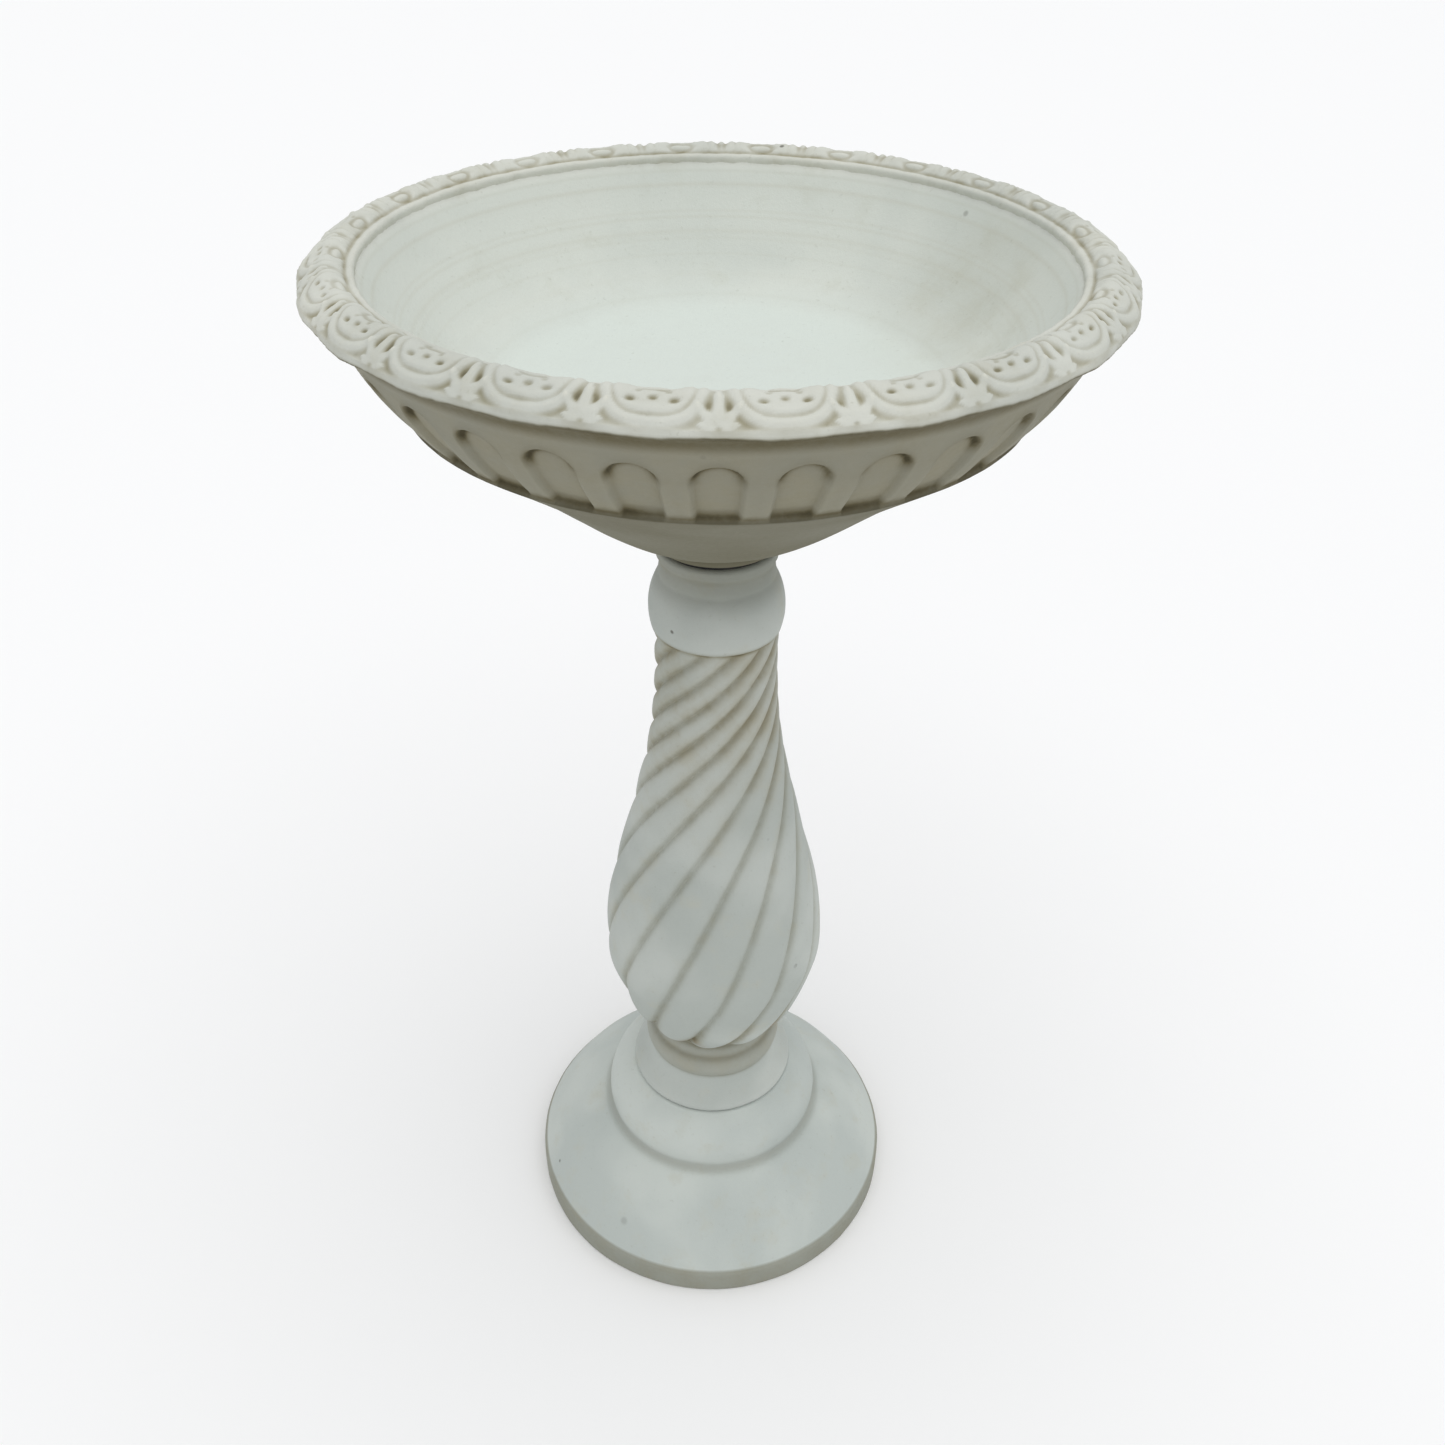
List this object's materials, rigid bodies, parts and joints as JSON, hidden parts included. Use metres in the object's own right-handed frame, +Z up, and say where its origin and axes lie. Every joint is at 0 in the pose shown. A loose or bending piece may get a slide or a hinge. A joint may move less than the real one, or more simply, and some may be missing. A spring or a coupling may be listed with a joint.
{
  "type": "bird bath",
  "caption": "Free-standing cast-stone bird bath: wide ornamented bowl on a spiral-fluted baluster pedestal with a ball knop and a stepped round base.",
  "frame": {"origin": "on the ground, at the centre of the round base", "axes": "+Z up along the axis of the pedestal, +X to the right and -Y towards the front; one sunk panel and one rim palmette face -Y"},
  "size_m": [0.448, 0.448, 0.7816],
  "materials": {
    "cast_stone": "matte",
    "steel_dowel": "satin",
    "steel_bar": "matte",
    "steel_wire": "satin",
    "setting_rubber": "matte",
    "plastic_sleeve": "satin"
  },
  "bodies": {
    "base": {"base": "cast_stone", "base_hoop": "steel_wire", "base_dowel": "steel_dowel"},
    "foot_pad": {"foot_pad": "setting_rubber"},
    "pedestal": {"pedestal": "cast_stone", "pedestal_bars": "steel_bar", "pedestal_ties": "steel_wire", "pedestal_sleeve": "plastic_sleeve", "bowl_dowel": "steel_dowel"},
    "seat_pad": {"seat_pad": "setting_rubber"},
    "bowl": {"bowl": "cast_stone", "bowl_sleeve": "plastic_sleeve", "rim_hoop": "steel_wire", "floor_hoop": "steel_wire", "bowl_bars": "steel_wire"}
  },
  "joints": [
    {"name": "pedestal_turn", "type": "hinge", "parent": "base", "child": "foot_pad", "pos_m": [0, 0, 0.1175], "axis": [0, 0, 1], "continuous": true},
    {"name": "pedestal_lift", "type": "slide", "parent": "foot_pad", "child": "pedestal", "axis": [0, 0, 1], "range_m": [0, 0.1]},
    {"name": "bowl_turn", "type": "hinge", "parent": "pedestal", "child": "seat_pad", "pos_m": [0, 0, 0.596], "axis": [0, 0, 1], "continuous": true},
    {"name": "bowl_lift", "type": "slide", "parent": "seat_pad", "child": "bowl", "axis": [0, 0, 1], "range_m": [0, 0.1]}
  ]
}
